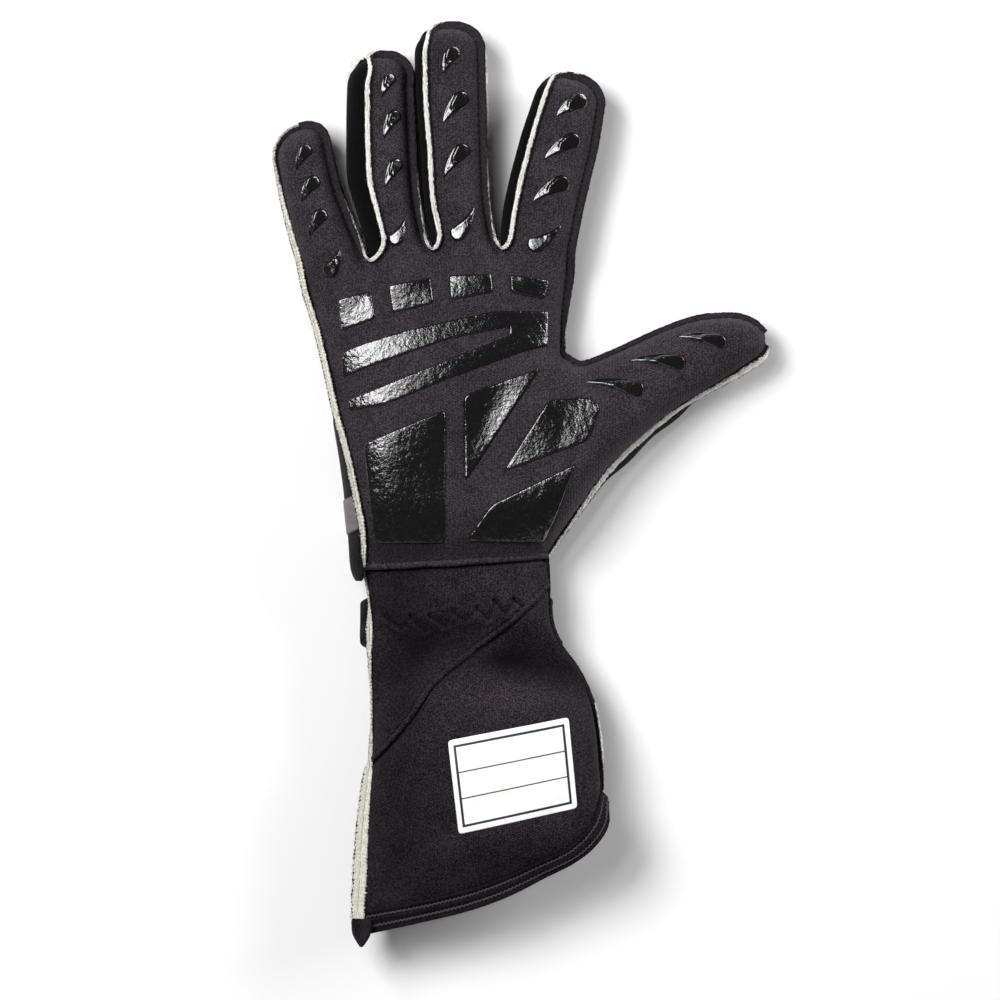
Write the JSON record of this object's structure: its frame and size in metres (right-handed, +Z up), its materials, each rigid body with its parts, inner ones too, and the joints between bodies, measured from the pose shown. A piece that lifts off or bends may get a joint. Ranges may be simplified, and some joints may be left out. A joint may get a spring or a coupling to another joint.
{
  "type": "racing glove",
  "caption": "Right-hand racing glove in charcoal knit with a long gauntlet cuff, light outside seams and raised silicone grip pads, lying palm up.",
  "frame": {"origin": "middle of the glove's box on the surface that it lies on", "axes": "+Y towards the fingertips, +X towards the thumb, +Z up out of the palm"},
  "size_m": [0.1883, 0.347, 0.0336],
  "materials": {
    "palm": "matte charcoal knit",
    "back": "matte black knit",
    "seam": "raw light seam edges",
    "grip": "glossy pebbled silicone",
    "cuff": "matte charcoal knit",
    "hem": "matte black knit tape",
    "label": "smooth white woven label"
  },
  "bodies": {
    "root": {"back_panel": "back", "back_seam_little_ring": "seam", "back_seam_middle_index": "seam", "back_seam_ring_middle": "seam", "cuff_back": "back", "cuff_left_seam": "seam", "cuff_lower_palm": "cuff", "cuff_right_seam": "seam", "cuff_wrist_palm": "cuff", "finger_seam_little_ring": "seam", "finger_seam_middle_index": "seam", "finger_seam_ring_middle": "seam", "fourchette_little_ring": "back", "fourchette_middle_index": "back", "fourchette_ring_middle": "back", "grip_index_1": "grip", "grip_index_2": "grip", "grip_index_3": "grip", "grip_index_4": "grip", "grip_little_1": "grip", "grip_little_2": "grip", "grip_little_3": "grip", "grip_little_4": "grip", "grip_middle_1": "grip", "grip_middle_2": "grip", "grip_middle_3": "grip", "grip_middle_4": "grip", "grip_ring_1": "grip", "grip_ring_2": "grip", "grip_ring_3": "grip", "grip_ring_4": "grip", "grip_thumb_1": "grip", "grip_thumb_2": "grip", "grip_thumb_3": "grip", "hem_back": "hem", "hem_palm": "hem", "hem_tab": "hem", "index_thumb_seam": "seam", "knuckle_pad_1": "grip", "knuckle_pad_2": "grip", "knuckle_pad_3": "grip", "knuckle_pad_4": "grip", "label": "label", "palm_base_pad": "grip", "palm_fork_pad": "grip", "palm_heel_pad": "grip", "palm_outer_pad": "grip", "palm_panel": "palm", "palm_wedge_pad": "grip", "side_seam": "seam", "thumb_back": "back", "thumb_seam": "seam", "wrist_strap": "hem", "wrist_welt": "cuff"}
  },
  "joints": []
}
